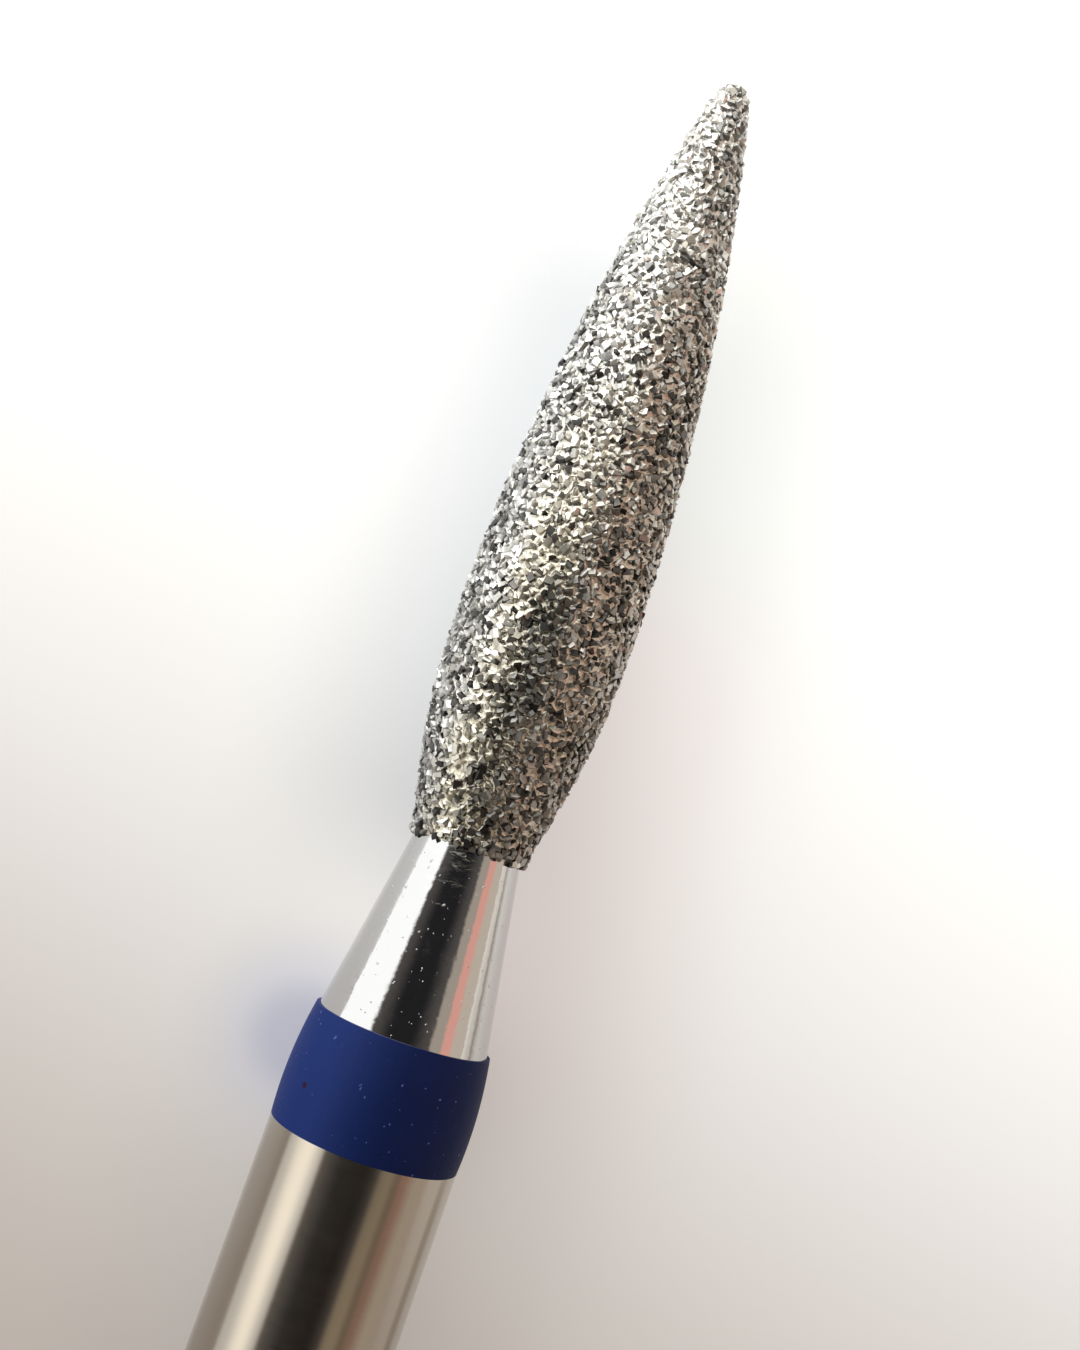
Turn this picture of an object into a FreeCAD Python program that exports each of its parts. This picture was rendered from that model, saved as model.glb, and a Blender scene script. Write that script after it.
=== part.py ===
"""Flame-shaped diamond bur with a straight shank.

Three pieces: the turned steel blank, the plated diamond coat on its head, and the colour ring over its
shoulder. Lengths are in millimetres. The bur lies along +X with its tip forward, +Z is up, and the
origin is the centre of the shank's rear face.
"""
import FreeCAD, Part
import math
import os
import random

# Whole bur
OVERALL_LENGTH = 44.5
HEAD_LENGTH = 10.5

# Shank and neck of the blank
SHANK_DIAMETER = 2.35
REAR_CHAMFER = 0.25
NECK_LENGTH = 2.95
WAIST_DIAMETER = 1.36

# Core of the head, under the coat
WAIST_LENGTH = 0.2
BELLY_DISTANCE = 2.8
CORE_DIAMETER = 2.06
CORE_TIP_RADIUS = 0.18

# Diamond coat, with heights over the core
GRAIN_PITCH = 0.155
GRAIN_HEIGHT = 0.11
GRAIN_HEIGHT_SPREAD = 0.02
BOND_HEIGHT = 0.05
BOND_HEIGHT_SPREAD = 0.015
GRAIN_SHARE = 0.5
GRAIN_WANDER = 0.25
GRAIN_SEED = 7

# Patches that the coat's bore is made of, with their width at the belly and their greatest length
BORE_PATCH_WIDTH = 0.147
BORE_PATCH_LENGTH = 2

# Colour ring
RING_WIDTH = 1.39
RING_TO_HEAD = 2.31
RING_SEAT_DEPTH = 0.06
RING_CROWN = 0.018
RING_CROWN_DISTANCE = 0.5
RING_FRONT_STEP = 0.04

SHANK_RADIUS = SHANK_DIAMETER / 2
WAIST_RADIUS = WAIST_DIAMETER / 2
CORE_RADIUS = CORE_DIAMETER / 2

HEAD_START = OVERALL_LENGTH - HEAD_LENGTH
NECK_START = HEAD_START - NECK_LENGTH
LIFT_X = HEAD_START + WAIST_LENGTH
BELLY_X = HEAD_START + BELLY_DISTANCE
CORE_END = OVERALL_LENGTH - GRAIN_HEIGHT
TIP_CENTRE_X = CORE_END - CORE_TIP_RADIUS
RING_FRONT = HEAD_START - RING_TO_HEAD
RING_REAR = RING_FRONT - RING_WIDTH

# Rows of an even triangular pattern lie this share of its pitch apart
ROW_SPACING = GRAIN_PITCH * math.sqrt(3) / 2
FEWEST_IN_ROW = 6
SEWING_TOLERANCE = 1e-6

ORIGIN = FreeCAD.Vector(0, 0, 0)
AXIS = FreeCAD.Vector(1, 0, 0)
FULL_TURN = 2 * math.pi
FULL_TURN_DEGREES = 360


def point(x, radius):
    """A point of an outline, at this place along the axis and this distance from it."""
    return FreeCAD.Vector(x, 0, radius)


def lines(*points):
    """Straight edges from point to point."""
    return [Part.makeLine(start, end) for start, end in zip(points, points[1:])]


def arc(start, through, end):
    return Part.Arc(start, through, end).toShape()


def arc_about(centre, radius, start, end):
    """The short arc of a circle, from start to end, which both lie on it."""
    middle = (start + end) / 2 - centre
    middle.normalize()
    return arc(start, centre + middle * radius, end)


def turned(edges):
    """The solid that a closed outline makes when it is turned about the axis."""
    return Part.Face(Part.Wire(edges)).revolve(ORIGIN, AXIS, FULL_TURN_DEGREES)


def body_radius(x):
    """Radius of the plain blank before the ring's seat is cut: the shank, then the neck's cone."""
    share = max(0, (x - NECK_START) / NECK_LENGTH)
    return SHANK_RADIUS + (WAIST_RADIUS - SHANK_RADIUS) * share


def head_outline():
    """Edges of the core from the waist to the tip.

    A plain stretch leads to two arcs, which share their tangent at the belly. The front one runs
    into the round of the tip.
    """
    waist = point(HEAD_START, WAIST_RADIUS)
    lift = point(LIFT_X, WAIST_RADIUS)
    belly = point(BELLY_X, CORE_RADIUS)
    tip_centre = point(TIP_CENTRE_X, 0)
    tip = point(CORE_END, 0)

    rise = CORE_RADIUS - WAIST_RADIUS
    rear_run = BELLY_X - LIFT_X
    rear_radius = (rear_run ** 2 + rise ** 2) / (2 * rise)
    rear_centre = point(BELLY_X, CORE_RADIUS - rear_radius)

    front_run = TIP_CENTRE_X - BELLY_X
    drop = CORE_RADIUS - CORE_TIP_RADIUS
    front_radius = (front_run ** 2 + CORE_RADIUS ** 2 - CORE_TIP_RADIUS ** 2) / (2 * drop)
    front_centre = point(BELLY_X, CORE_RADIUS - front_radius)

    outward = tip_centre - front_centre
    outward.normalize()
    tip_start = tip_centre + outward * CORE_TIP_RADIUS

    return lines(waist, lift) + [
        arc_about(rear_centre, rear_radius, lift, belly),
        arc_about(front_centre, front_radius, belly, tip_start),
        arc_about(tip_centre, CORE_TIP_RADIUS, tip_start, tip),
    ]


def seat_outline():
    """Ends of the ring's seat, a plain taper that is cut into the shank and the cone."""
    return [point(x, body_radius(x) - RING_SEAT_DEPTH) for x in (RING_REAR, RING_FRONT)]


def steel_blank():
    """Shank, neck and the core of the head, turned from one bar."""
    rear = lines(
        point(0, 0),
        point(0, SHANK_RADIUS - REAR_CHAMFER),
        point(REAR_CHAMFER, SHANK_RADIUS),
        point(RING_REAR, body_radius(RING_REAR)),
        *seat_outline(),
        point(RING_FRONT, body_radius(RING_FRONT)),
        point(HEAD_START, WAIST_RADIUS),
    )
    closing = lines(point(CORE_END, 0), point(0, 0))
    return turned(rear + head_outline() + closing)


def colour_ring():
    """Enamel band with a low crown, which fills its seat."""
    rear_edge = point(RING_REAR, body_radius(RING_REAR))
    crown = point(RING_REAR + RING_CROWN_DISTANCE, SHANK_RADIUS + RING_CROWN)
    front_edge = point(RING_FRONT, body_radius(RING_FRONT) + RING_FRONT_STEP)
    seat = seat_outline()
    outside = arc(rear_edge, crown, front_edge)
    front_wall = lines(front_edge, seat[-1])
    inside = lines(*reversed(seat))
    rear_wall = lines(seat[0], rear_edge)
    return turned([outside] + front_wall + inside + rear_wall)


def stations():
    """Evenly spaced places along the core's outline, each with its outward direction."""
    outline = Part.Wire(head_outline())
    count = round(outline.Length / ROW_SPACING)
    places = outline.discretize(Number=count + 1)
    found = [(places[0], point(0, 1))]
    for before, place, after in zip(places, places[1:], places[2:]):
        run = after - before
        run.normalize()
        found.append((place, point(-run.z, run.x)))
    return found


def grit_height(rng):
    """Height over the core of one point of the coat: the top of a grain, or the bond between."""
    if rng.random() < GRAIN_SHARE:
        return GRAIN_HEIGHT - rng.uniform(0, GRAIN_HEIGHT_SPREAD)
    return BOND_HEIGHT + rng.uniform(-BOND_HEIGHT_SPREAD, BOND_HEIGHT_SPREAD)


def grit_row(place, outward, stagger, wander, rng):
    """One row of points round the coat, as pairs of angle and position."""
    count = round(max(FEWEST_IN_ROW, FULL_TURN * place.z / GRAIN_PITCH))
    along = point(outward.z, -outward.x)
    row = []
    for index in range(count):
        angle = FULL_TURN * (index + stagger + rng.uniform(-GRAIN_WANDER, GRAIN_WANDER)) / count
        slip = along * rng.uniform(-wander, wander)
        spot = place + slip + outward * grit_height(rng)
        across = spot.z
        row.append((angle, FreeCAD.Vector(spot.x, across * math.sin(angle), across * math.cos(angle))))
    return row


def facet(*corners):
    return Part.Face(Part.makePolygon([*corners, corners[0]]))


def facets_between(rear_row, front_row):
    """Triangles that join two rows, taken in turn by the angle of the next point."""
    rear = rear_row + [(rear_row[0][0] + FULL_TURN, rear_row[0][1])]
    front = front_row + [(front_row[0][0] + FULL_TURN, front_row[0][1])]
    at_rear = 0
    at_front = 0
    faces = []
    while at_rear < len(rear_row) or at_front < len(front_row):
        rear_is_next = at_front == len(front_row) or (
            at_rear < len(rear_row) and rear[at_rear + 1][0] < front[at_front + 1][0])
        old = (rear[at_rear][1], front[at_front][1])
        if rear_is_next:
            at_rear += 1
            faces.append(facet(*old, rear[at_rear][1]))
        else:
            at_front += 1
            faces.append(facet(*old, front[at_front][1]))
    return faces


def grit_faces(rows, tip):
    """The coat's rough outside, row by row, closed by a fan of facets at the tip."""
    faces = []
    for rear_row, front_row in zip(rows, rows[1:]):
        faces += facets_between(rear_row, front_row)
    last = [position for angle, position in rows[-1]]
    for start, end in zip(last, last[1:] + last[:1]):
        faces.append(facet(start, end, tip))
    return faces


def in_stretches(edges, longest):
    """The same outline in even stretches, none longer than this."""
    stretches = []
    for edge in edges:
        count = math.ceil(edge.Length / longest)
        first, last = edge.ParameterRange
        step = (last - first) / count
        stretches += [edge.Curve.toShape(first + step * n, first + step * (n + 1)) for n in range(count)]
    return stretches


def in_sectors(profile, count):
    """The full turn of an outline or a point about the axis, as this many like pieces side by side."""
    step = FULL_TURN_DEGREES / count
    sector = profile.revolve(ORIGIN, AXIS, step)
    pieces = []
    for number in range(count):
        piece = sector.copy()
        piece.rotate(ORIGIN, AXIS, step * number)
        pieces.append(piece)
    return pieces


def bore():
    """The coat's inside, which is the core's surface, and the edge where it opens at the waist.

    It is made in small patches, because a skin this thin keeps its thickness only where the surface
    under it is split finely.
    """
    outline = Part.Wire(in_stretches(head_outline(), BORE_PATCH_LENGTH))
    count = round(FULL_TURN * CORE_RADIUS / BORE_PATCH_WIDTH)
    walls = in_sectors(outline, count)
    mouth = in_sectors(Part.Vertex(point(HEAD_START, WAIST_RADIUS)), count)
    faces = [face for wall in walls for face in wall.Faces]
    return faces, Part.Wire(mouth)


def diamond_coat():
    """Closed shell of bonded grains, which fits the core all over."""
    rng = random.Random(GRAIN_SEED)
    rows = []
    for number, (place, outward) in enumerate(stations()):
        wander = GRAIN_WANDER * GRAIN_PITCH if number else 0
        rows.append(grit_row(place, outward, number % 2 / 2, wander, rng))
    outside = grit_faces(rows, point(OVERALL_LENGTH, 0))

    inside, mouth = bore()
    edge = [position for angle, position in rows[0]]
    rear_face = Part.Face([Part.makePolygon([*edge, edge[0]]), mouth])

    skin = Part.Compound(outside + inside + [rear_face])
    skin.sewShape(SEWING_TOLERANCE)
    return Part.Solid(skin.Shells[0])


def main():
    os.makedirs("parts", exist_ok=True)
    pieces = {
        "steel_blank": steel_blank(),
        "diamond_coat": diamond_coat(),
        "colour_ring": colour_ring(),
    }
    for name, shape in pieces.items():
        shape.exportStep(f"parts/{name}.step")


main()
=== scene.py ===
"""Dental bur on pale paper: satin shank, polished neck, blue ring, and a head of diamond grains in nickel."""
import math
from collections import namedtuple

import bmesh
import bpy
import numpy as np
from mathutils import Matrix, Vector
from mathutils.bvhtree import BVHTree


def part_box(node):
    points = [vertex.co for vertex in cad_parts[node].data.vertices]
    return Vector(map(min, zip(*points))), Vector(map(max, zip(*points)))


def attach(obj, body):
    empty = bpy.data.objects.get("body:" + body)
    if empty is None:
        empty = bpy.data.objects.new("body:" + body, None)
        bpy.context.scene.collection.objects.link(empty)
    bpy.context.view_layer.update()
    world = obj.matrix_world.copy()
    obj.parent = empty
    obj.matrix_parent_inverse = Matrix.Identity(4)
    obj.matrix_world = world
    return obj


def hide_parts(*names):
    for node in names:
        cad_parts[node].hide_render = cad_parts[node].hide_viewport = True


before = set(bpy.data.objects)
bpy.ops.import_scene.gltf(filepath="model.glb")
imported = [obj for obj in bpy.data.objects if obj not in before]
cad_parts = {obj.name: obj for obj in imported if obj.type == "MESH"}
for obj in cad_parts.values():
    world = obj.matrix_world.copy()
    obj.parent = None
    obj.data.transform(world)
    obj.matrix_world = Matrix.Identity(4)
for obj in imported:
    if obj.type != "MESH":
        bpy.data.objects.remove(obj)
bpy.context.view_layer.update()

MM = 0.001
FULL_TURN = 2 * math.pi

# Places along the bur, read from the frame
HEAD_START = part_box("diamond_coat")[0][0]
TIP_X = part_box("diamond_coat")[1][0]
RING_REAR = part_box("colour_ring")[0][0]
RING_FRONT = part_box("colour_ring")[1][0]
RING_CROWN_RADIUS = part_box("colour_ring")[1][2]

# Sizes of the blank and the ring, which the model repeats
SHANK_RADIUS = 1.175 * MM
REAR_CHAMFER = 0.25 * MM
NECK_LENGTH = 2.95 * MM
WAIST_RADIUS = 0.68 * MM
WAIST_LENGTH = 0.2 * MM
BELLY_DISTANCE = 2.8 * MM
CORE_RADIUS = 1.03 * MM
CORE_TIP_RADIUS = 0.18 * MM
COAT_HEIGHT = 0.11 * MM
RING_SEAT_DEPTH = 0.06 * MM
RING_CROWN_DISTANCE = 0.5 * MM
RING_FRONT_STEP = 0.04 * MM
NECK_START = HEAD_START - NECK_LENGTH
CORE_END = TIP_X - COAT_HEIGHT

# Fineness of the turned pieces, and the turn between two faces from which their edge is sharp
LATHE_COLUMNS = 256
LATHE_CORNER = math.radians(8)
CORE_STEPS = 48
CORE_SAMPLES = 4000
RING_STEPS = 24

# Crystals of the coat
GRAIN_SEED = 11
GRAIN_SPACING = 0.078 * MM
GRAIN_TRIES = 110000
GRAIN_KINDS = 40
GRAIN_CUBE = 1.7
GRAIN_CUTS = 5
GRAIN_CUT_DEPTHS = (0.5, 0.9)
GRAIN_SIZES = (0.042 * MM, 0.074 * MM)
GRAIN_STRETCHES = (0.65, 1.15)
GRAIN_TOP = 0.98 * COAT_HEIGHT
GRAIN_SINK = 0.03 * MM
# Height from which the crystals carry no painted shade at their foot
GRAIN_UNSHADED_HEIGHT = 0.65 * COAT_HEIGHT
PALE_SHARE = 0.8
PALE_TONES = (0.42, 1.0)
DARK_TONES = (0, 0.15)

# Fading of the dark crystals and of the painted shade at the crystals' feet towards the tip: where it
# starts and over how much, as shares of the head's length, and how much of them is gone at the tip
FADE_START = 0.62
FADE_RUN = 0.38
DARK_TONE_FADE = 0.6
FOOT_SHADE_FADE = 0.7

# Nickel between the crystals
BOND_COLUMNS = 400
BOND_ROWS = 640
BOND_PIECES = 3
BOND_INNER_ROWS = 12
BOND_HEIGHT = 0.034 * MM
BOND_RIM = 0.016 * MM
BOND_RIM_WIDTH = 0.009 * MM
BOND_EDGE = 0.06 * MM
BOND_EDGE_SHARE = 0.25
BOND_CORNER = math.radians(60)

# Paper, in linear tones
PAPER_Z = -RING_CROWN_RADIUS
PAPER_HALF_WIDTH = 0.6
PAPER_GLOW = 1.03
# PAPER_LOW is the paper's tone where the painted shade is deepest, at the shank's end.
PAPER_LOW = (0.262, 0.232, 0.212, 1)
PAPER_HIGH = (0.64, 0.645, 0.643, 1)
PAPER_FAR = (0.70, 0.69, 0.68, 1)

# Camera, fitted to the photograph
PHOTO_HEIGHT = 1350
FOCAL_PIXELS = 1480
TIP_TILT = math.radians(6.4)
LEAN_IN_PICTURE = math.radians(19.37)
REFERENCE_X = TIP_X - 14.688 * MM
REFERENCE_DEPTH = 17.73 * MM
REFERENCE_BELOW_CENTRE = 6.462 * MM
AXIS_LEFT_OF_CENTRE = 0.134 * MM


def mm(*values):
    """These millimetres as metres."""
    return tuple(value * MM for value in values)


def ahead(*values):
    """Places along the bur, this many millimetres in front of the head's start."""
    return tuple(HEAD_START + value * MM for value in values)


ENAMEL_PIT = (RING_REAR + 0.54 * MM, 0.856 * MM, 0.827 * MM)


def rgb(red, green, blue):
    """A colour written as 0 to 255 values of a picture, as the linear colour that a shader takes."""
    def decoded(value):
        value /= 255
        return value / 12.92 if value <= 0.04045 else ((value + 0.055) / 1.055) ** 2.4
    return (decoded(red), decoded(green), decoded(blue), 1)


def linear(red, green, blue):
    """A colour written in linear values."""
    return (red, green, blue, 1)


def new_material(name):
    """A new material, its node tree and its surface shader."""
    material = bpy.data.materials.new(name)
    material.use_nodes = True
    tree = material.node_tree
    return material, tree, tree.nodes["Principled BSDF"]


def node(tree, kind, **inputs):
    """A new node with these values on its named inputs; a socket is linked, anything else is set."""
    made = tree.nodes.new(kind)
    for name, value in inputs.items():
        connect(tree, value, made.inputs[name.replace("_", " ")])
    return made


def connect(tree, value, socket):
    if isinstance(value, bpy.types.NodeSocket):
        tree.links.new(value, socket)
    else:
        socket.default_value = value


def maths(tree, operation, *values):
    made = tree.nodes.new("ShaderNodeMath")
    made.operation = operation
    for value, socket in zip(values, made.inputs):
        connect(tree, value, socket)
    return made.outputs[0]


def product(tree, first, *others):
    """All the values multiplied together."""
    for other in others:
        first = maths(tree, "MULTIPLY", first, other)
    return first


def smooth_step(tree, value, low, high):
    """0 below low, 1 above high and smooth between; low above high falls instead of rising."""
    made = tree.nodes.new("ShaderNodeMapRange")
    made.interpolation_type = "SMOOTHSTEP"
    connect(tree, value, made.inputs["Value"])
    if low > high:
        low, high = high, low
        made.inputs["To Min"].default_value = 1
        made.inputs["To Max"].default_value = 0
    made.inputs["From Min"].default_value = low
    made.inputs["From Max"].default_value = high
    return made.outputs[0]


def between(tree, value, rise, fall):
    """1 between two soft edges and 0 outside; rise and fall are where each edge starts and ends."""
    return product(tree, smooth_step(tree, value, *rise), smooth_step(tree, value, fall[1], fall[0]))


def mixed(tree, factor, first, second, blend="MIX"):
    """Colour between first and second."""
    made = tree.nodes.new("ShaderNodeMix")
    made.data_type = "RGBA"
    made.blend_type = blend
    connect(tree, factor, made.inputs[0])
    connect(tree, first, made.inputs[6])
    connect(tree, second, made.inputs[7])
    return made.outputs[2]


def dimmed(tree, factor, colour, filter_colour):
    """The colour, multiplied by the filter as far as factor says."""
    return mixed(tree, factor, colour, filter_colour, "MULTIPLY")


def mixed_value(tree, factor, first, second):
    """Number between first and second."""
    made = tree.nodes.new("ShaderNodeMix")
    for value, socket in zip((factor, first, second), (made.inputs[0], made.inputs[2], made.inputs[3])):
        connect(tree, value, socket)
    return made.outputs[0]


def place_in_mm(tree, scale=(1, 1, 1)):
    """Position on the bur in millimetres, stretched by scale."""
    coordinates = tree.nodes.new("ShaderNodeTexCoord")
    mapping = tree.nodes.new("ShaderNodeMapping")
    mapping.inputs["Scale"].default_value = [value / MM for value in scale]
    tree.links.new(coordinates.outputs["Object"], mapping.inputs["Vector"])
    return mapping.outputs[0]


def place_on(tree):
    """Place along the bur and across it, in metres, with its left as positive."""
    coordinates = tree.nodes.new("ShaderNodeTexCoord")
    place = node(tree, "ShaderNodeSeparateXYZ", Vector=coordinates.outputs["Object"])
    return place.outputs[0], place.outputs[1]


def distance_from(tree, point):
    """Distance from a point, in metres."""
    made = tree.nodes.new("ShaderNodeVectorMath")
    made.operation = "DISTANCE"
    connect(tree, tree.nodes.new("ShaderNodeTexCoord").outputs["Object"], made.inputs[0])
    connect(tree, point, made.inputs[1])
    return made.outputs["Value"]


def noise(tree, scale, detail=2.0, roughness=0.5):
    """Noise with this many waves to the millimetre along each axis."""
    return node(tree, "ShaderNodeTexNoise", Vector=place_in_mm(tree, scale), Scale=1, Detail=detail,
                Roughness=roughness).outputs["Fac"]


def even_noise(tree, scale, detail=2.0, roughness=0.5):
    return noise(tree, (scale, scale, scale), detail, roughness)


def bump(tree, height, distance, normal=None):
    made = node(tree, "ShaderNodeBump", Height=height, Distance=distance, Strength=1.0)
    if normal is not None:
        tree.links.new(normal, made.inputs["Normal"])
    return made.outputs[0]


def shank_material():
    """Steel ground round and round, which blurs what it mirrors along its length."""
    material, tree, surface = new_material("satin_shank")
    surface.inputs["Metallic"].default_value = 1
    surface.inputs["Anisotropic"].default_value = 0.85
    surface.inputs["Anisotropic Rotation"].default_value = 0.25
    fine = noise(tree, (45, 2, 2), 3)
    wide = noise(tree, (0.3, 1.6, 1.6), 2)
    tone = mixed(tree, wide, rgb(186, 178, 166), rgb(206, 198, 186))
    connect(tree, tone, surface.inputs["Base Color"])
    rough = node(tree, "ShaderNodeMapRange", Value=fine, To_Min=0.14, To_Max=0.22)
    connect(tree, rough.outputs[0], surface.inputs["Roughness"])
    connect(tree, bump(tree, fine, 0.0004 * MM), surface.inputs["Normal"])
    tangent = tree.nodes.new("ShaderNodeTangent")
    tangent.direction_type = "RADIAL"
    tangent.axis = "X"
    connect(tree, tangent.outputs[0], surface.inputs["Tangent"])
    return material


def neck_material():
    """Polished steel with faint turning marks, which make the edges of its reflections uneven."""
    material, tree, surface = new_material("polished_neck")
    surface.inputs["Metallic"].default_value = 1
    surface.inputs["Base Color"].default_value = rgb(207, 206, 205)
    turning = noise(tree, (9, 4, 4), 3)
    dust = smooth_step(tree, even_noise(tree, 16), 0.7, 0.75)
    haze = smooth_step(tree, even_noise(tree, 3, 4, 0.7), 0.45, 0.75)
    rough = maths(tree, "ADD", product(tree, haze, 0.10), product(tree, dust, 0.35))
    connect(tree, maths(tree, "ADD", rough, 0.05), surface.inputs["Roughness"])
    ripple = bump(tree, turning, 0.0035 * MM)
    connect(tree, bump(tree, dust, 0.006 * MM, ripple), surface.inputs["Normal"])
    return material


def enamel_material():
    """Satin blue with painted light, lighter on the bur's left and deeper towards its right, with pale dust
    and one dark pit.
    """
    material, tree, surface = new_material("blue_enamel")
    along, across = place_on(tree)
    cloud = product(tree, even_noise(tree, 1.5, 3), 0.3)
    # Painted light: lighter on the bur's left and deeper towards its right, plus a random cloud of tone.
    painted_light_and_tone = maths(tree, "ADD", smooth_step(tree, across, *mm(-0.3, 1)), cloud)
    tone = mixed(tree, painted_light_and_tone, rgb(12, 25, 70), rgb(23, 45, 107))
    dust = smooth_step(tree, even_noise(tree, 16, 1), 0.74, 0.78)
    tone = mixed(tree, dust, tone, rgb(84, 100, 156))
    pit = smooth_step(tree, distance_from(tree, ENAMEL_PIT), *mm(0.045, 0.025))
    connect(tree, mixed(tree, pit, tone, rgb(44, 16, 28)), surface.inputs["Base Color"])
    surface.inputs["Roughness"].default_value = 0.55
    surface.inputs["Specular IOR Level"].default_value = 0.12
    connect(tree, bump(tree, even_noise(tree, 18, 3), 0.003 * MM), surface.inputs["Normal"])
    return material


def with_painted_light(tree, tone, crest_reflection_filter, right_shade_filter):
    """The tone with painted light: a painted warm reflection along the head's crest and painted
    shade on its right, except near the tip.

    A painted dark reflection lies on the crest, from behind the belly to just past it.
    """
    along, across = place_on(tree)
    # Masks of painted light: a warm reflection on the crest, shade on the right and a dark reflection on the
    # crest.
    crest = product(tree, between(tree, across, mm(-0.4, 0.1), mm(0.4, 0.8)),
                    smooth_step(tree, along, *ahead(7, 3)))
    right = product(tree, smooth_step(tree, across, *mm(0.1, -0.5)), smooth_step(tree, along, *ahead(9, 5)))
    painted_dark_reflection = product(tree, between(tree, along, ahead(1.3, 1.9), ahead(2.9, 3.7)),
                    between(tree, across, mm(-0.35, -0.1), mm(0.06, 0.3)))
    tone = dimmed(tree, crest, tone, crest_reflection_filter)
    tone = dimmed(tree, right, tone, right_shade_filter)
    return dimmed(tree, painted_dark_reflection, tone, linear(0.5, 0.52, 0.54))


def nickel_material():
    material, tree, surface = new_material("bright_nickel")
    surface.inputs["Metallic"].default_value = 1
    tone = mixed(tree, even_noise(tree, 6), rgb(212, 210, 205), rgb(237, 236, 232))
    # Painted light on the nickel's random tone: a warm reflection on the crest, shade on the right and a dark
    # reflection.
    tone = with_painted_light(tree, tone, linear(1, 0.945, 0.81), linear(0.82, 0.75, 0.67))
    connect(tree, tone, surface.inputs["Base Color"])
    fine = even_noise(tree, 26, 3)
    rough = node(tree, "ShaderNodeMapRange", Value=fine, To_Min=0.18, To_Max=0.4)
    connect(tree, rough.outputs[0], surface.inputs["Roughness"])
    connect(tree, bump(tree, fine, 0.01 * MM), surface.inputs["Normal"])
    return material


def grain_value(tree, name):
    """A number that the mesh of the grains holds at each corner."""
    made = tree.nodes.new("ShaderNodeAttribute")
    made.attribute_name = name
    return made.outputs["Fac"]


def diamond_material():
    """Grey crystal with painted shade at its foot, where it meets the bond, and the head's painted light
    over it. Each grain's tone, with painted light, and its unshaded share are in the mesh.
    """
    material, tree, surface = new_material("diamond_crystal")
    depth = maths(tree, "ADD", even_noise(tree, 25), 0.5)
    shade = product(tree, grain_value(tree, "grain_tone_and_painted_light"), depth)
    lit = mixed(tree, shade, rgb(58, 56, 55), rgb(254, 253, 249))
    lit = with_painted_light(tree, lit, linear(1, 0.975, 0.90), linear(0.98, 0.93, 0.89))
    # Painted shade at each crystal's foot, where it meets the bond.
    tone = mixed(tree, grain_value(tree, "grain_unshaded"), rgb(16, 14, 13), lit)
    connect(tree, tone, surface.inputs["Base Color"])
    surface.inputs["Metallic"].default_value = 0.85
    surface.inputs["Roughness"].default_value = 0.3
    surface.inputs["IOR"].default_value = 2.4
    return material


def with_painted_ring_light(tree, tone):
    """The tone with painted blue light bounced from the ring onto the paper beside it."""
    away = distance_from(tree, ((RING_REAR + RING_FRONT) / 2, 1.25 * MM, 0))
    wide = product(tree, smooth_step(tree, away, *mm(1.9, 0.2)), 0.42)
    tone = mixed(tree, wide, tone, linear(0.24, 0.26, 0.36))
    close = product(tree, smooth_step(tree, away, *mm(0.9, 0.3)), 0.3)
    return mixed(tree, close, tone, linear(0.14, 0.16, 0.23))


def painted_paper(tree, along, across):
    """The paper's tone with painted light: painted shade darkening it towards the shank's end and softly on
    both sides of the bur, warm on the right beside the neck, and painted blue light from the ring.
    """
    # Painted shade: the paper darkens towards the shank's end.
    slanted = maths(tree, "SUBTRACT", along, product(tree, across, 0.1))
    tone = mixed(tree, smooth_step(tree, slanted, *ahead(-10.5, 7)), PAPER_LOW, PAPER_HIGH)
    # Painted shade on the bur's left, beside the head and, at half strength, beside the shank.
    left = between(tree, across, mm(-1, 0.4), mm(0.8, 3.8))
    beside_head = between(tree, along, ahead(-1.6, 0.6), ahead(7, 10.5))
    beside_shank = product(tree, smooth_step(tree, along, *ahead(-3, -5)), 0.5)
    shade = product(tree, left, maths(tree, "ADD", beside_head, beside_shank))
    tone = dimmed(tree, shade, tone, linear(0.75, 0.765, 0.79))
    # Painted shade on the bur's right: warm beside the neck, grey beside the head.
    right = between(tree, across, mm(-4.5, -1), mm(-0.4, 1))
    painted_warm_shade = product(tree, right, between(tree, along, ahead(-5, -2), ahead(2.5, 5.5)))
    tone = dimmed(tree, painted_warm_shade, tone, linear(0.94, 0.885, 0.88))
    painted_grey_shade = product(tree, right, between(tree, along, ahead(2.5, 5.5), ahead(7, 10)))
    tone = dimmed(tree, painted_grey_shade, tone, linear(0.92, 0.945, 0.945))
    return with_painted_ring_light(tree, tone)


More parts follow.
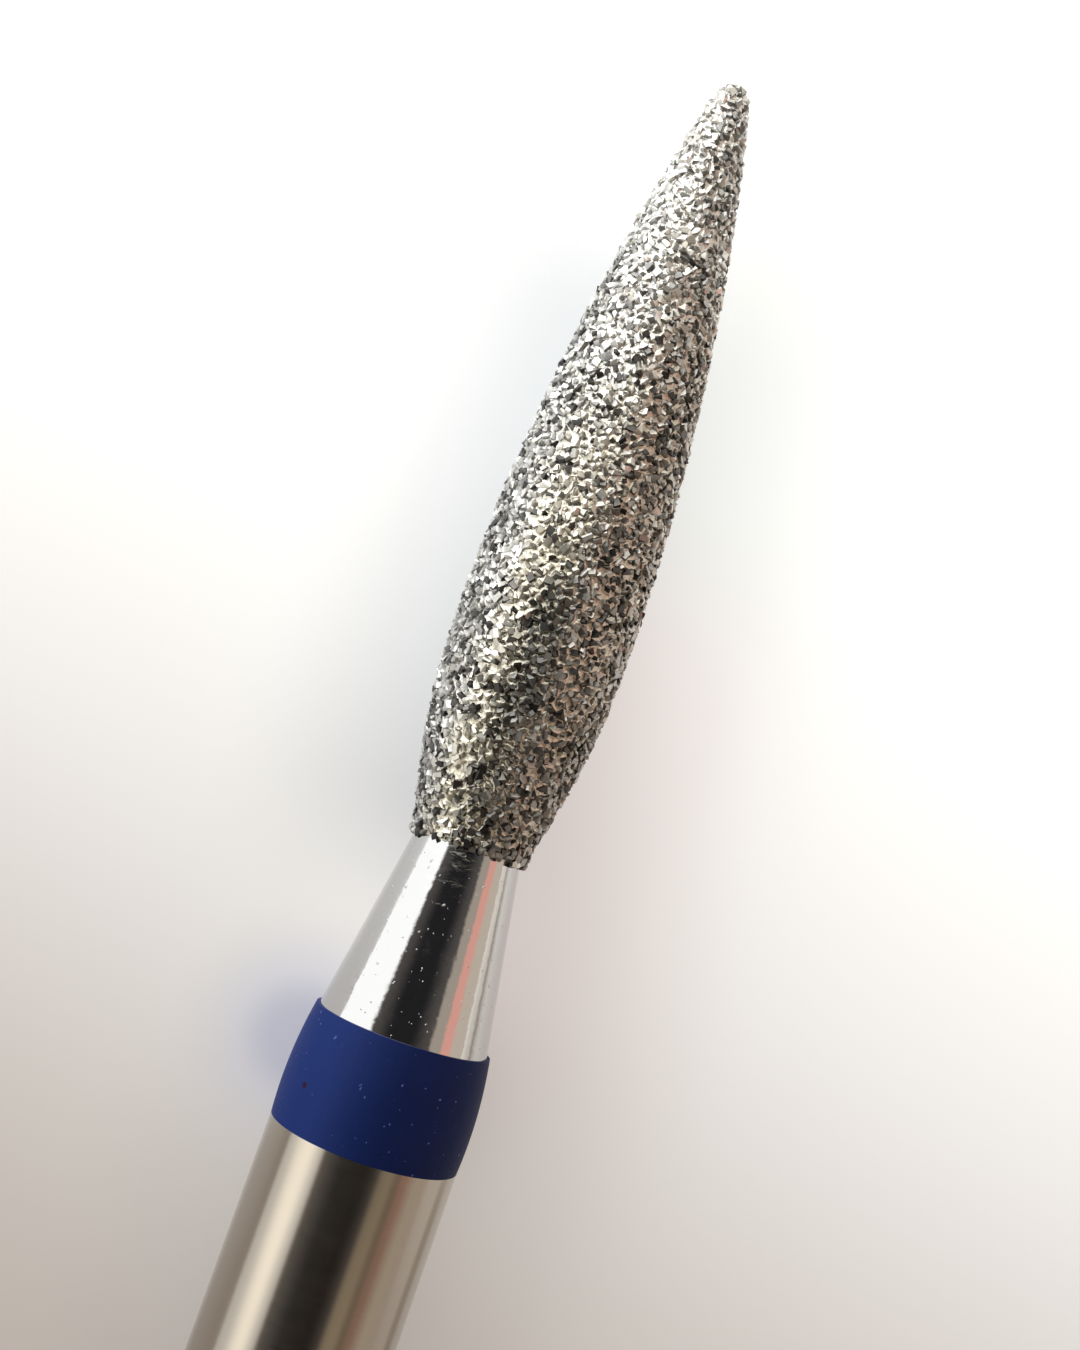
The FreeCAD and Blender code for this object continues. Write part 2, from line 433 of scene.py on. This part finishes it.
def paper_with_painted_reflections(tree, along, across, tone):
    """The paper as glossy rays see it, with painted reflections: painted shade on the left and far to the
    right, and thin painted dark lines on the right.
    """
    by_neck = smooth_step(tree, along, *ahead(-5, -3))
    by_shank = smooth_step(tree, along, *ahead(-3, -5))
    left_shade_filter = mixed(tree, by_neck, linear(0.63, 0.66, 0.71), linear(0.78, 0.82, 0.87))
    # Painted shade in the reflections on the left, then far to the right.
    tone = dimmed(tree, smooth_step(tree, across, *mm(1.4, 2.6)), tone, left_shade_filter)
    far_right_shade = product(tree, by_neck, smooth_step(tree, across, *mm(-4.4, -4.9)))
    tone = dimmed(tree, far_right_shade, tone, linear(0.74, 0.68, 0.61))
    # Painted dark lines in the reflections, by the neck and by the shank.
    painted_neck_line = product(tree, by_neck, between(tree, across, mm(-9, -8.5), mm(-6, -5.6)))
    tone = dimmed(tree, painted_neck_line, tone, linear(0.25, 0.24, 0.23))
    painted_shank_line = product(tree, by_shank, between(tree, across, mm(-4.3, -3.9), mm(-2.9, -2.6)))
    return dimmed(tree, painted_shank_line, tone, linear(0.5, 0.47, 0.45))


def paper_material():
    """White paper, which glows at its painted tone, painted shade included, where it is seen, mirrored or
    seen through something.
    """
    material, tree, surface = new_material("pale_paper")
    along, across = place_on(tree)
    tone = painted_paper(tree, along, across)
    connect(tree, tone, surface.inputs["Base Color"])
    surface.inputs["Roughness"].default_value = 0.9
    surface.inputs["Specular IOR Level"].default_value = 0.1

    path = tree.nodes.new("ShaderNodeLightPath")
    far = smooth_step(tree, distance_from(tree, (HEAD_START, 0, 0)), *mm(14, 40))
    plain = mixed(tree, far, tone, PAPER_FAR)
    mirrored = paper_with_painted_reflections(tree, along, across, tone)
    glow = mixed(tree, path.outputs["Is Glossy Ray"], plain, mirrored)
    connect(tree, glow, surface.inputs["Emission Color"])
    seen = maths(tree, "MAXIMUM", path.outputs["Is Camera Ray"], path.outputs["Is Glossy Ray"])
    seen = maths(tree, "MAXIMUM", seen, path.outputs["Is Transmission Ray"])
    connect(tree, product(tree, seen, PAPER_GLOW), surface.inputs["Emission Strength"])
    return material


def finished(name, mesh, materials, smooth=True, corner=math.pi):
    """The mesh as an object of the scene. Edges that turn by more than corner are sharp."""
    for material in materials:
        mesh.materials.append(material)
    mesh.polygons.foreach_set("use_smooth", [smooth] * len(mesh.polygons))
    if corner < math.pi:
        mesh.set_sharp_from_angle(angle=corner)
    piece = bpy.data.objects.new(name, mesh)
    bpy.context.scene.collection.objects.link(piece)
    return piece


def mesh_from(name, points, faces):
    mesh = bpy.data.meshes.new(name)
    mesh.from_pydata(points.tolist(), [], faces)
    mesh.validate()
    return mesh


def lathe_ring(shape, x, radius):
    """Points round the axis, or a single one at a pole."""
    if radius <= 0:
        return [shape.verts.new((x, 0, 0))]
    turns = [FULL_TURN * index / LATHE_COLUMNS for index in range(LATHE_COLUMNS)]
    return [shape.verts.new((x, radius * math.sin(turn), -radius * math.cos(turn))) for turn in turns]


def lathe_corners(rear, front, index):
    """Corners of one face between two rings of points."""
    after = (index + 1) % LATHE_COLUMNS
    if len(rear) == 1:
        return rear[0], front[after], front[index]
    if len(front) == 1:
        return rear[index], rear[after], front[0]
    return rear[index], rear[after], front[after], front[index]


def lathe(name, outline, materials, loop=False):
    """A closed solid of revolution about X.

    outline is a list of (x, radius, material index of the band that starts there), from the rear pole
    to the front pole, or once round the section of a loop, which doesn't reach the axis.
    """
    shape = bmesh.new()
    rings = [lathe_ring(shape, x, radius) for x, radius, band in outline]
    following = rings[1:] + rings[:1] if loop else rings[1:]
    for (x, radius, band), rear, front in zip(outline, rings, following):
        for index in range(LATHE_COLUMNS):
            face = shape.faces.new(lathe_corners(rear, front, index))
            face.material_index = band
    bmesh.ops.recalc_face_normals(shape, faces=shape.faces)
    mesh = bpy.data.meshes.new(name)
    shape.to_mesh(mesh)
    shape.free()
    return finished(name, mesh, materials, corner=LATHE_CORNER)


def core_arcs():
    """The core's outline from the waist to the tip, as arcs.

    Each is (length, centre x, centre radius, arc radius, angle of its normal at its start). The angle
    is measured from straight out towards the tip.
    """
    rise = CORE_RADIUS - WAIST_RADIUS
    rear_run = BELLY_DISTANCE - WAIST_LENGTH
    rear_radius = (rear_run ** 2 + rise ** 2) / (2 * rise)
    rear_angle = math.asin(rear_run / rear_radius)
    belly_x = HEAD_START + BELLY_DISTANCE
    tip_centre_x = CORE_END - CORE_TIP_RADIUS
    front_run = tip_centre_x - belly_x
    drop = CORE_RADIUS - CORE_TIP_RADIUS
    front_radius = (front_run ** 2 + CORE_RADIUS ** 2 - CORE_TIP_RADIUS ** 2) / (2 * drop)
    front_angle = math.asin(front_run / (front_radius - CORE_TIP_RADIUS))
    return [
        (rear_radius * rear_angle, belly_x, CORE_RADIUS - rear_radius, rear_radius, -rear_angle),
        (front_radius * front_angle, belly_x, CORE_RADIUS - front_radius, front_radius, 0),
        (CORE_TIP_RADIUS * (math.pi / 2 - front_angle), tip_centre_x, 0, CORE_TIP_RADIUS, front_angle),
    ]


CORE_ARCS = core_arcs()
CORE_LENGTH = WAIST_LENGTH + sum(arc[0] for arc in CORE_ARCS)


def core_at(lengths):
    """x, radius and outward angle of the core's outline at these lengths from the waist."""
    x = HEAD_START + np.minimum(lengths, WAIST_LENGTH)
    radius = np.full_like(x, WAIST_RADIUS)
    angle = np.zeros_like(x)
    start = WAIST_LENGTH
    for length, centre_x, centre_radius, arc_radius, first in CORE_ARCS:
        here = lengths > start
        turned = first + (lengths[here] - start) / arc_radius
        x[here] = centre_x + arc_radius * np.sin(turned)
        radius[here] = centre_radius + arc_radius * np.cos(turned)
        angle[here] = turned
        start += length
    return x, np.maximum(radius, 0), angle


def on_coat(lengths, turns, heights):
    """Points over the core, as an array of x, y, z."""
    x, radius, angle = core_at(lengths)
    across = radius + heights * np.cos(angle)
    return np.stack([x + heights * np.sin(angle), across * np.sin(turns), -across * np.cos(turns)], axis=-1)


def scatter_grains(rng):
    """Places of the grains, spread evenly at random and never nearer than their spacing."""
    lengths = np.linspace(0, CORE_LENGTH, CORE_SAMPLES)
    radius = core_at(lengths)[1] + COAT_HEIGHT / 2
    area = np.concatenate([[0], np.cumsum((radius[1:] + radius[:-1]) / 2 * np.diff(lengths))])
    tried_lengths = np.interp(rng.random(GRAIN_TRIES) * area[-1], area, lengths)
    tried_turns = rng.random(GRAIN_TRIES) * FULL_TURN
    points = on_coat(tried_lengths, tried_turns, np.full(GRAIN_TRIES, COAT_HEIGHT / 2))
    cells = {}
    kept = []
    reach = (-1, 0, 1)
    for number, place in enumerate(points):
        cell = tuple(int(value // GRAIN_SPACING) for value in place)
        near = (
            other
            for i in reach for j in reach for k in reach
            for other in cells.get((cell[0] + i, cell[1] + j, cell[2] + k), ())
        )
        if all(((place - points[other]) ** 2).sum() >= GRAIN_SPACING ** 2 for other in near):
            cells.setdefault(cell, []).append(number)
            kept.append(number)
    return tried_lengths[kept], tried_turns[kept]


def broken_crystal(rng):
    """Corners and triangles of a cube that is cut by planes at random, before it is sized."""
    shape = bmesh.new()
    bmesh.ops.create_cube(shape, size=GRAIN_CUBE)
    for cut in range(GRAIN_CUTS):
        way = rng.normal(size=3)
        way /= np.linalg.norm(way)
        parts = shape.verts[:] + shape.edges[:] + shape.faces[:]
        depth = rng.uniform(*GRAIN_CUT_DEPTHS)
        bmesh.ops.bisect_plane(shape, geom=parts, plane_co=way * depth, plane_no=way, clear_outer=True)
        bmesh.ops.holes_fill(shape, edges=shape.edges)
    bmesh.ops.triangulate(shape, faces=shape.faces)
    bmesh.ops.recalc_face_normals(shape, faces=shape.faces)
    shape.verts.index_update()
    corners = np.array([v.co[:] for v in shape.verts])
    triangles = np.array([[v.index for v in f.verts] for f in shape.faces])
    shape.free()
    return corners, triangles


def random_turn(rng):
    """A rotation matrix, evenly spread over all directions."""
    a, b, c, d = rng.normal(size=4)
    size = math.sqrt(a * a + b * b + c * c + d * d)
    a, b, c, d = a / size, b / size, c / size, d / size
    return np.array([
        [1 - 2 * (c * c + d * d), 2 * (b * c - a * d), 2 * (b * d + a * c)],
        [2 * (b * c + a * d), 1 - 2 * (b * b + d * d), 2 * (c * d - a * b)],
        [2 * (b * d - a * c), 2 * (c * d + a * b), 1 - 2 * (b * b + c * c)],
    ])


def painted_coat_light(lengths, turns):
    """How pale the crystals are painted: mostly painted light on the head's left and painted shade on its
    right.

    The line between the painted light and shade lies left of the crest at the waist, crosses to its right
    in the middle of the head and comes back at the tip. On the rear half one painted highlight streak
    runs on each side of the top, and painted shade darkens the left flank. The rim on the far right is
    painted paler all along.
    """
    forward = lengths / CORE_LENGTH
    side = np.sin(turns)
    left = 1.0 + 0.5 * forward
    right = np.interp(forward, [0, 0.3, 0.76, 0.82, 1], [0.22, 0.40, 0.62, 0.40, 0.42])
    right += 0.3 * np.clip((-side - 0.7) / 0.1, 0, 1)
    paler_at = np.array([2.9, 3.7, 5.2, 7.3, 8.2, 8.6, 9.9]) * MM
    paler_from = np.interp(lengths, paler_at, [0.5, 0.12, -0.08, -0.18, -0.12, 0.13, 0.35])
    share = np.clip((side - paler_from) / 0.38 + 1, 0, 1)
    share = share * share * (3 - 2 * share)
    rear = np.interp(lengths, [4 * MM, 6 * MM], [1, 0])
    streaks = 0.22 * np.exp(-((side - 0.45) / 0.12) ** 2) + 0.13 * np.exp(-((side + 0.45) / 0.15) ** 2)
    flank = 0.3 * np.clip((side - 0.6) / 0.2, 0, 1)
    return right + (left - right) * share + rear * (streaks - flank)


def seated_crystal(rng, corners, foot, way):
    """One crystal's points, sized, stretched and turned at random and sunk in the bond, and their heights."""
    size = rng.uniform(*GRAIN_SIZES)
    turned = (corners * rng.uniform(*GRAIN_STRETCHES, 3) * size) @ random_turn(rng).T
    top = GRAIN_TOP - rng.uniform(0, GRAIN_SINK)
    heights = turned @ way
    heights += top - heights.max()
    return turned + foot + np.outer(heights - turned @ way, way), heights


def crystal_tone(rng, fade):
    """Tone of one crystal: pale or dark, and less dark near the tip."""
    pale = rng.random() < PALE_SHARE
    tone = rng.uniform(*(PALE_TONES if pale else DARK_TONES))
    return tone + (1 - tone) * DARK_TONE_FADE * fade


def diamond_grains(rng, lengths, turns):
    """All the crystals as points, triangles and two values for each point: its tone, with painted light,
    and its unshaded share.

    The unshaded share is 0 at the bond and 1 near the coat's top, so that each crystal has painted shade
    at its foot. This painted shade fades towards the tip.
    """
    kinds = [broken_crystal(rng) for number in range(GRAIN_KINDS)]
    feet = on_coat(lengths, turns, np.zeros(len(lengths)))
    ways = (on_coat(lengths, turns, np.full(len(lengths), MM)) - feet) / MM
    points = []
    triangles = []
    tones = []
    unshaded_share = []
    count = 0
    # Painted light, with the paler tone towards the tip, at each crystal's place.
    painted_light_and_tone = painted_coat_light(lengths, turns)
    fading = np.clip((lengths / CORE_LENGTH - FADE_START) / FADE_RUN, 0, 1)
    for foot, way, light, fade in zip(feet, ways, painted_light_and_tone, fading):
        corners, faces = kinds[rng.integers(GRAIN_KINDS)]
        places, heights = seated_crystal(rng, corners, foot, way)
        points.append(places)
        triangles.append(faces + count)
        count += len(corners)
        # Each crystal's random tone times the painted light of its place.
        tones.append(np.full(len(corners), crystal_tone(rng, fade) * light))
        # Painted shade at each crystal's foot, gone near the coat's top and fading towards the tip.
        unshaded = np.clip((heights - BOND_HEIGHT) / (GRAIN_UNSHADED_HEIGHT - BOND_HEIGHT), 0, 1)
        unshaded_share.append(1 - (1 - unshaded) * (1 - FOOT_SHADE_FADE * fade))
    return [np.concatenate(part) for part in (points, triangles, tones, unshaded_share)]


def grain_piece(points, triangles, tones, unshaded_share):
    mesh = mesh_from("diamond_grains", points, triangles.tolist())
    mesh.attributes.new("grain_tone_and_painted_light", "FLOAT", "POINT").data.foreach_set("value", tones)
    mesh.attributes.new("grain_unshaded", "FLOAT", "POINT").data.foreach_set("value", unshaded_share)
    return finished("diamond_grains", mesh, [diamond_material()], smooth=False)


def bond_heights(places, points, triangles):
    """Height of the nickel at these places: low between the crystals, and drawn up where it meets them."""
    grains = BVHTree.FromPolygons(points.tolist(), triangles.tolist())
    reach = 4 * BOND_RIM_WIDTH
    rim = np.zeros(len(places))
    for number, place in enumerate(places.tolist()):
        spot, normal, index, gap = grains.find_nearest(place, reach)
        if spot is None:
            continue
        inside = (Vector(place) - spot).dot(normal) < 0
        rim[number] = 1 if inside else math.exp(-gap / BOND_RIM_WIDTH)
    return BOND_HEIGHT + BOND_RIM * rim


def nickel_bond(points, triangles, material):
    """The plated skin, in a few closed pieces along the head."""
    steps = np.linspace(0, CORE_LENGTH, BOND_ROWS + 1)[:-1]
    angles = np.arange(BOND_COLUMNS) * FULL_TURN / BOND_COLUMNS
    row_lengths = np.repeat(steps, BOND_COLUMNS)
    row_turns = np.tile(angles, BOND_ROWS)
    level = on_coat(row_lengths, row_turns, np.full(len(row_turns), BOND_HEIGHT + BOND_RIM / 2))
    heights = bond_heights(level, points, triangles)
    heights *= np.clip(row_lengths / BOND_EDGE, BOND_EDGE_SHARE, 1)
    skin = on_coat(row_lengths, row_turns, heights).reshape(BOND_ROWS, BOND_COLUMNS, 3)
    cuts = [round(BOND_ROWS * number / BOND_PIECES) for number in range(BOND_PIECES + 1)]
    pieces = []
    for number, (first, last) in enumerate(zip(cuts, cuts[1:])):
        front = number == BOND_PIECES - 1
        rows = skin[first:] if front else skin[first:last + 1]
        ends = (steps[first], CORE_LENGTH if front else steps[last])
        pieces.append(bond_piece(f"nickel_bond_{number + 1}", rows, ends, angles, front, material))
    return pieces


def bond_piece(name, rows, ends, angles, front, material):
    """One closed stretch of the skin: its outside, the core's surface under it and what joins them."""
    inner_lengths = np.linspace(*ends, BOND_INNER_ROWS, endpoint=not front)
    inner = on_coat(np.repeat(inner_lengths, BOND_COLUMNS), np.tile(angles, BOND_INNER_ROWS),
                    np.zeros(BOND_INNER_ROWS * BOND_COLUMNS))
    points = np.concatenate([rows.reshape(-1, 3), inner])
    inner_first = rows.shape[0] * BOND_COLUMNS
    faces = grid_faces(0, len(rows), False) + grid_faces(inner_first, BOND_INNER_ROWS, True)
    faces += wall_faces(inner_first, 0)
    outer_last = inner_first - BOND_COLUMNS
    inner_last = len(points) - BOND_COLUMNS
    if front:
        points = np.concatenate([points, [[CORE_END + BOND_HEIGHT, 0, 0], [CORE_END, 0, 0]]])
        for index in range(BOND_COLUMNS):
            after = (index + 1) % BOND_COLUMNS
            faces.append((outer_last + index, outer_last + after, len(points) - 2))
            faces.append((inner_last + after, inner_last + index, len(points) - 1))
    else:
        faces += wall_faces(outer_last, inner_last)
    return finished(name, mesh_from(name, points, faces), [material], corner=BOND_CORNER)


def wall_faces(first, second):
    """Faces that join two rings of a bond piece."""
    faces = []
    for index in range(BOND_COLUMNS):
        after = (index + 1) % BOND_COLUMNS
        faces.append((first + index, first + after, second + after, second + index))
    return faces


def grid_faces(first, rows, inward):
    """Four-sided faces between the rings of a grid of BOND_COLUMNS columns."""
    faces = []
    for row in range(rows - 1):
        start = first + row * BOND_COLUMNS
        for corners in wall_faces(start, start + BOND_COLUMNS):
            faces.append(corners[::-1] if inward else corners)
    return faces


def core_outline():
    """Points of the core from the waist to just short of its tip."""
    x, radius, angle = core_at(np.linspace(0, CORE_LENGTH, CORE_STEPS, endpoint=False))
    return list(zip(x.tolist(), radius.tolist()))


def body_radius(x):
    """Radius of the plain blank before the ring's seat is cut: the shank, then the neck's cone."""
    share = max(0, (x - NECK_START) / NECK_LENGTH)
    return SHANK_RADIUS + (WAIST_RADIUS - SHANK_RADIUS) * share


def turned_blank():
    """Shank, neck and core in one piece, finer than the model's facets."""
    shank, neck = 0, 1
    front_radius = body_radius(RING_FRONT)
    outline = [
        (0, 0, shank),
        (0, SHANK_RADIUS - REAR_CHAMFER, shank),
        (REAR_CHAMFER, SHANK_RADIUS, shank),
        (RING_REAR, SHANK_RADIUS, shank),
        (RING_REAR, SHANK_RADIUS - RING_SEAT_DEPTH, neck),
        (RING_FRONT, front_radius - RING_SEAT_DEPTH, neck),
        (RING_FRONT, front_radius, neck),
    ]
    outline += [(x, radius, neck) for x, radius in core_outline()]
    outline.append((CORE_END, 0, neck))
    return lathe("turned_blank", outline, [shank_material(), neck_material()])


def through(first, second, third, x):
    """Height at x of the parabola through three points."""
    a = (x - second.x) * (x - third.x) / ((first.x - second.x) * (first.x - third.x))
    b = (x - first.x) * (x - third.x) / ((second.x - first.x) * (second.x - third.x))
    c = (x - first.x) * (x - second.x) / ((third.x - first.x) * (third.x - second.x))
    return a * first.y + b * second.y + c * third.y


def enamel_ring():
    """Crowned band that fills its seat."""
    front_radius = body_radius(RING_FRONT)
    rear = Vector((RING_REAR, SHANK_RADIUS))
    crown = Vector((RING_REAR + RING_CROWN_DISTANCE, RING_CROWN_RADIUS))
    front = Vector((RING_FRONT, front_radius + RING_FRONT_STEP))
    outline = [(RING_REAR, SHANK_RADIUS - RING_SEAT_DEPTH, 0)]
    for index in range(RING_STEPS + 1):
        x = rear.x + (front.x - rear.x) * index / RING_STEPS
        outline.append((x, through(rear, crown, front, x), 0))
    outline.append((RING_FRONT, front_radius - RING_SEAT_DEPTH, 0))
    return lathe("enamel_ring", outline, [enamel_material()], loop=True)


def paper():
    far = PAPER_HALF_WIDTH
    mesh = bpy.data.meshes.new("paper")
    mesh.from_pydata([(-far, -far, 0), (far, -far, 0), (far, far, 0), (-far, far, 0)], [], [(0, 1, 2, 3)])
    sheet = finished("paper", mesh, [paper_material()], smooth=False)
    sheet.location = (0, 0, PAPER_Z)


def camera():
    """The photograph's view: from above, with the tip up and to the right and a little further away."""
    looking = Vector((math.sin(TIP_TILT), 0, -math.cos(TIP_TILT)))
    along = Vector((math.cos(TIP_TILT), 0, math.sin(TIP_TILT)))
    across = looking.cross(along)
    right = along * math.sin(LEAN_IN_PICTURE) + across * math.cos(LEAN_IN_PICTURE)
    up = along * math.cos(LEAN_IN_PICTURE) - across * math.sin(LEAN_IN_PICTURE)
    reference = Vector((REFERENCE_X, 0, 0))
    place = (reference - looking * REFERENCE_DEPTH + along * REFERENCE_BELOW_CENTRE
             + across * AXIS_LEFT_OF_CENTRE)
    data = bpy.data.cameras.new("camera")
    data.sensor_fit = "VERTICAL"
    data.lens = data.sensor_height * FOCAL_PIXELS / PHOTO_HEIGHT
    data.clip_start = 0.5 * MM
    data.clip_end = 10
    holder = bpy.data.objects.new("camera", data)
    holder.matrix_world = Matrix.Translation(place) @ Matrix((right, up, -looking)).transposed().to_4x4()
    bpy.context.scene.collection.objects.link(holder)
    bpy.context.scene.camera = holder


Sky = namedtuple("Sky", "lateral axial to_front high")


def sky_directions(tree):
    """Direction in the room, as degrees from straight up to the bur's right and to its front.

    to_front parts what the shank mirrors, 0, from what the neck and head mirror, 1. high is 1 only where
    the front of the head looks.
    """
    coordinates = tree.nodes.new("ShaderNodeTexCoord")
    way = node(tree, "ShaderNodeSeparateXYZ", Vector=coordinates.outputs["Generated"])
    forward, side, up = way.outputs
    degrees = 180 / math.pi
    lateral = product(tree, maths(tree, "ARCTAN2", product(tree, side, -1.0), up), degrees)
    axial = product(tree, maths(tree, "ARCSINE", forward), degrees)
    return Sky(lateral, axial, smooth_step(tree, axial, -12, 2), smooth_step(tree, axial, 14, 32))


def walls(tree, sky):
    """Pale on the left and warm on the right, with a darker field and a thin red line in it."""
    right = mixed(tree, sky.to_front, linear(0.50, 0.43, 0.36), linear(0.72, 0.63, 0.52))
    right = mixed(tree, sky.high, right, linear(1.0, 0.93, 0.82))
    colour = mixed(tree, smooth_step(tree, sky.lateral, -30, 30), linear(0.78, 0.77, 0.75), right)
    brown = mixed(tree, sky.to_front, linear(0.20, 0.15, 0.11), linear(0.51, 0.44, 0.37))
    shifted = maths(tree, "SUBTRACT", sky.lateral, mixed_value(tree, sky.to_front, 7, 0))
    colour = mixed(tree, between(tree, shifted, (20, 36), (54, 72)), colour, brown)
    line = product(tree, between(tree, sky.lateral, (54, 58), (68, 73)),
                   mixed_value(tree, sky.to_front, 0.1, 1.0), mixed_value(tree, sky.high, 1.0, 0.3))
    return mixed(tree, line, colour, linear(0.98, 0.49, 0.40))


def with_window(tree, sky, colour):
    """The colour with a bright window on the bur's left, whose outer edge leans."""
    leaning = maths(tree, "ADD", sky.lateral, product(tree, sky.axial, 0.8))
    leaning = maths(tree, "SUBTRACT", leaning, mixed_value(tree, sky.to_front, 6, 0))
    inner = maths(tree, "ADD", sky.lateral, mixed_value(tree, sky.to_front, 22, 0))
    window = product(tree, smooth_step(tree, leaning, -100, -84), smooth_step(tree, inner, -20, -36))
    glare = mixed(tree, sky.to_front, linear(1.60, 1.54, 1.42), linear(1.55, 1.57, 1.57))
    glare = mixed(tree, sky.high, glare, linear(3.1, 3.1, 3.05))
    return mixed(tree, window, colour, glare)


def with_ceiling(tree, sky, colour):
    """The colour with the ceiling: white on the left, yellowish in the middle and brown on the right."""
    white = mixed(tree, sky.high, linear(1.3, 1.3, 1.25), linear(2.6, 2.6, 2.55))
    middle = mixed(tree, sky.high, linear(0.80, 0.70, 0.46), linear(2.0, 1.92, 1.65))
    ceiling = mixed(tree, smooth_step(tree, sky.lateral, -25, 5), white, middle)
    ceiling = mixed(tree, smooth_step(tree, sky.lateral, 8, 34), ceiling, linear(0.42, 0.36, 0.31))
    return mixed(tree, between(tree, sky.lateral, (-44, -30), (30, 44)), colour, ceiling)


def with_opening(tree, sky, colour):
    """The colour with a dark opening overhead, paler at its edges, and a brown streak along the shank."""
    off_centre = maths(tree, "ABSOLUTE", sky.lateral)
    black = mixed(tree, sky.to_front, linear(0.007, 0.005, 0.005), linear(0.021, 0.021, 0.023))
    opening = mixed(tree, smooth_step(tree, off_centre, 12, 38), black, linear(0.11, 0.10, 0.095))
    inside = product(tree, smooth_step(tree, off_centre, 43, 37),
                     between(tree, sky.axial, (-52, -40), (18, 26)))
    colour = mixed(tree, inside, colour, opening)
    streak = product(tree, between(tree, sky.lateral, (26, 36), (43, 52)),
                     mixed_value(tree, sky.to_front, 1, 0))
    return mixed(tree, streak, colour, linear(0.34, 0.28, 0.205))


def studio():
    """A pale light tent with a dark opening overhead, a bright side and a warm side."""
    world = bpy.data.worlds.new("studio")
    bpy.context.scene.world = world
    world.use_nodes = True
    tree = world.node_tree
    background = tree.nodes["Background"]
    sky = sky_directions(tree)
    colour = with_window(tree, sky, walls(tree, sky))
    colour = with_ceiling(tree, sky, colour)
    colour = with_opening(tree, sky, colour)
    path = tree.nodes.new("ShaderNodeLightPath")
    colour = mixed(tree, path.outputs["Is Camera Ray"], colour, linear(0.96, 0.96, 0.96))
    connect(tree, colour, background.inputs["Color"])
    background.inputs["Strength"].default_value = 1.0


def body():
    blank = turned_blank()
    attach(blank, "root")
    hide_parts("steel_blank")
    ring = enamel_ring()
    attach(ring, "root")
    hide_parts("colour_ring")


def head():
    rng = np.random.default_rng(GRAIN_SEED)
    lengths, turns = scatter_grains(rng)
    points, triangles, tones, unshaded_share = diamond_grains(rng, lengths, turns)
    pieces = nickel_bond(points, triangles, nickel_material())
    pieces.append(grain_piece(points, triangles, tones, unshaded_share))
    for piece in pieces:
        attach(piece, "root")
        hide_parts("diamond_coat")


bpy.context.scene.view_settings.view_transform = "Standard"
camera()
studio()
paper()
body()
head()
